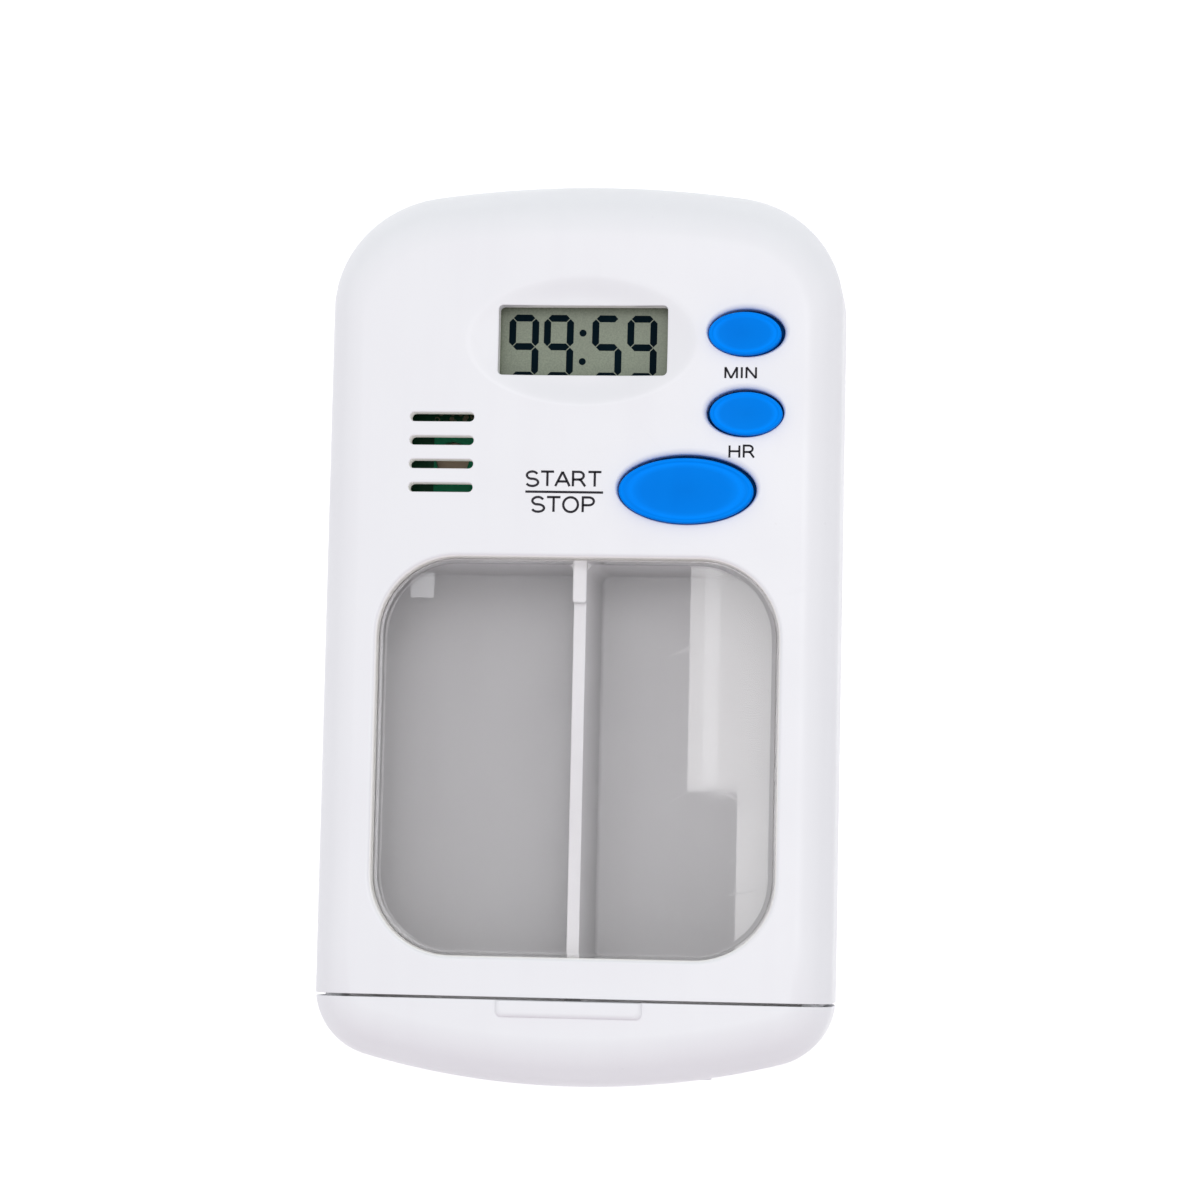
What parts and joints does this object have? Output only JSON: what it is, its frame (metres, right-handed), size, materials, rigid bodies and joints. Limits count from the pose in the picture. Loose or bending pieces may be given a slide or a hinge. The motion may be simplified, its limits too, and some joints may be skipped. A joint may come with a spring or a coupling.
{
  "type": "pill box with timer",
  "caption": "Pocket pill box with a countdown timer, a two-compartment sliding drawer under a clear window, and oval buttons.",
  "frame": {"origin": "centre of the bounding box at the flat back the object lies on", "axes": "+Z out of the face, +Y along the case towards the display, +X towards the buttons"},
  "size_m": [0.055, 0.097, 0.0208],
  "materials": {
    "case": "fine satin moulding",
    "tray": "satin moulding",
    "button": "satin",
    "window": "clear polished acrylic",
    "glass": "clear",
    "display": "grey-green film",
    "holder": "matt black",
    "board": "solder mask",
    "black": "matt",
    "ceramic": "unglazed",
    "steel": "nickel plated",
    "brass": "bright",
    "rubber": "silicone",
    "dark_rubber": "carbon filled silicone",
    "red_wire": "insulation"
  },
  "bodies": {
    "case": {"front_shell": "case", "back_shell": "case", "window_lens": "window", "lcd_holder": "holder", "lcd_front_polariser": "display", "lcd_front_glass": "glass", "lcd_rear_glass": "glass", "lcd_rear_reflector": "display", "lcd_zebra_strip": "dark_rubber", "circuit_board": "board", "chip_coating": "black", "resistor_1": "black", "resistor_2": "black", "capacitor_1": "ceramic", "capacitor_2": "ceramic", "driver_transistor": "black", "quartz_crystal": "steel", "min_rubber_dome": "rubber", "hr_rubber_dome": "rubber", "start_stop_rubber_dome": "rubber", "buzzer_disc": "brass", "buzzer_ceramic": "ceramic", "buzzer_wire_red": "red_wire", "buzzer_wire_black": "black", "button_cell": "steel", "battery_negative_contact": "brass", "battery_positive_contact": "brass", "case_screw_1": "steel", "case_screw_2": "steel", "case_screw_3": "steel", "case_screw_4": "steel", "board_screw_1": "steel", "board_screw_2": "steel", "board_screw_3": "steel"},
    "drawer": {"drawer_tray": "tray", "drawer_front": "case"},
    "min_key": {"min_button": "button", "min_contact_pill": "dark_rubber"},
    "hr_key": {"hr_button": "button", "hr_contact_pill": "dark_rubber"},
    "start_stop_key": {"start_stop_button": "button", "start_stop_contact_pill": "dark_rubber"},
    "door": {"battery_door": "case"}
  },
  "joints": [
    {"name": "drawer_slide", "type": "slide", "parent": "case", "child": "drawer", "axis": [0, -1, 0], "range_m": [0, 0.0385]},
    {"name": "min_press", "type": "slide", "parent": "case", "child": "min_key", "axis": [0, 0, -1], "range_m": [0, 0.0007], "stiffness_N_per_m": 800, "springref_m": -0.0005, "deforming": ["min_rubber_dome"]},
    {"name": "hr_press", "type": "slide", "parent": "case", "child": "hr_key", "axis": [0, 0, -1], "range_m": [0, 0.0007], "stiffness_N_per_m": 800, "springref_m": -0.0005, "deforming": ["hr_rubber_dome"]},
    {"name": "start_stop_press", "type": "slide", "parent": "case", "child": "start_stop_key", "axis": [0, 0, -1], "range_m": [0, 0.0007], "stiffness_N_per_m": 800, "springref_m": -0.0005, "deforming": ["start_stop_rubber_dome"]},
    {"name": "battery_door_turn", "type": "hinge", "parent": "case", "child": "door", "pos_m": [0.009, 0.023, 0], "axis": [0, 0, 1], "range_deg": [0, 45]}
  ]
}
